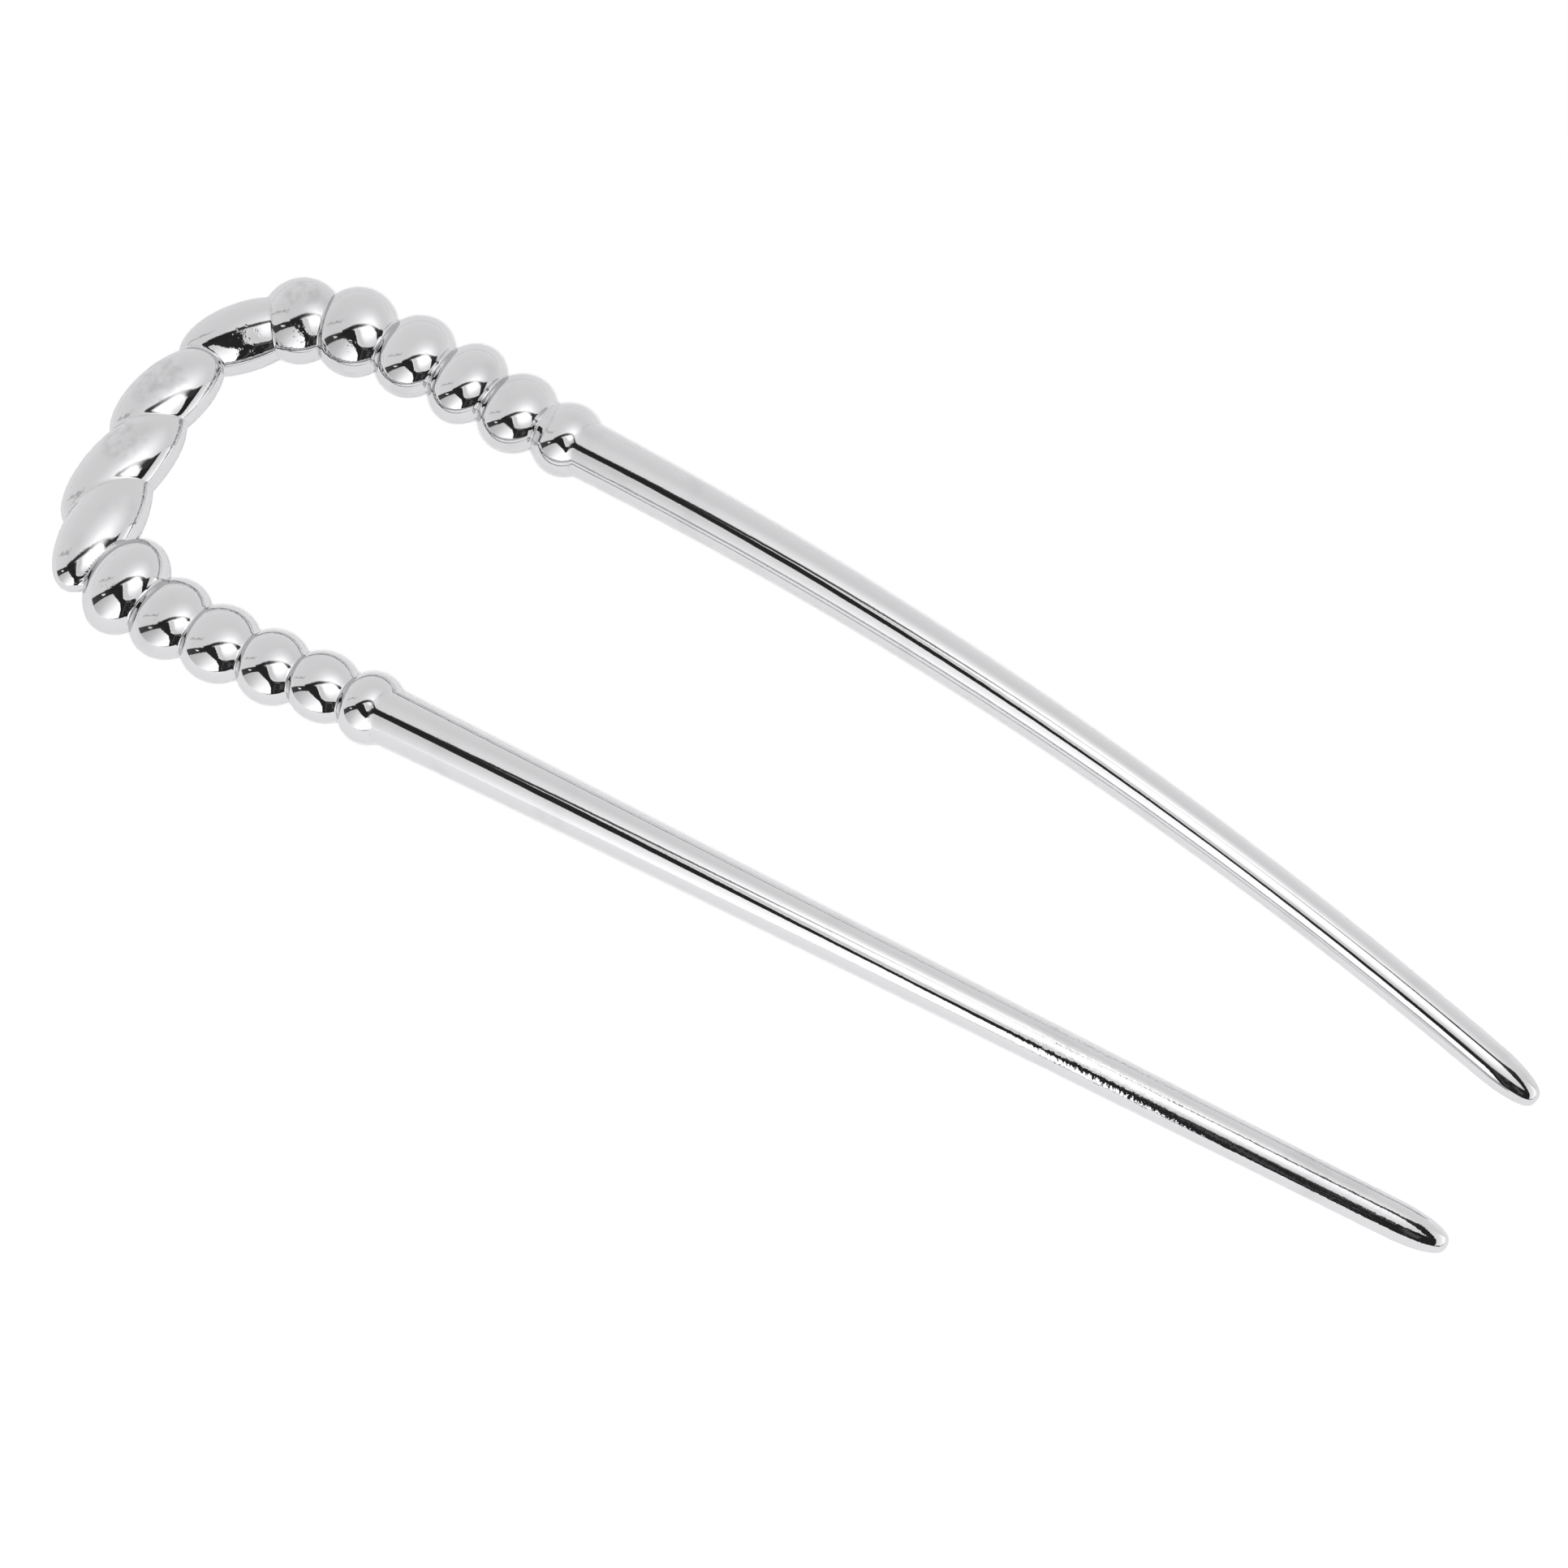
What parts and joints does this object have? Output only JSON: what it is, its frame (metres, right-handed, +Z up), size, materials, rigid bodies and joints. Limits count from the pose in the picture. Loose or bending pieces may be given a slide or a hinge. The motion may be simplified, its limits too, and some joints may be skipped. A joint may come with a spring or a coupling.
{
  "type": "u-shaped hairpin",
  "caption": "U-shaped polished metal hairpin with a rope-lobed bend, beaded upper arms and two long tapering prongs, gently arched to hold hair between the prongs.",
  "frame": {"origin": "on the table, at the middle of the pin's outline seen from above", "axes": "+Z up from the table, +Y along the pin from the bend to the tips, +X across the two arms"},
  "size_m": [0.036, 0.1263, 0.011],
  "materials": {
    "polished_silver": "mirror-polished silver-coloured plating over cast metal"
  },
  "bodies": {
    "root": {"hairpin": "polished_silver"}
  },
  "joints": []
}
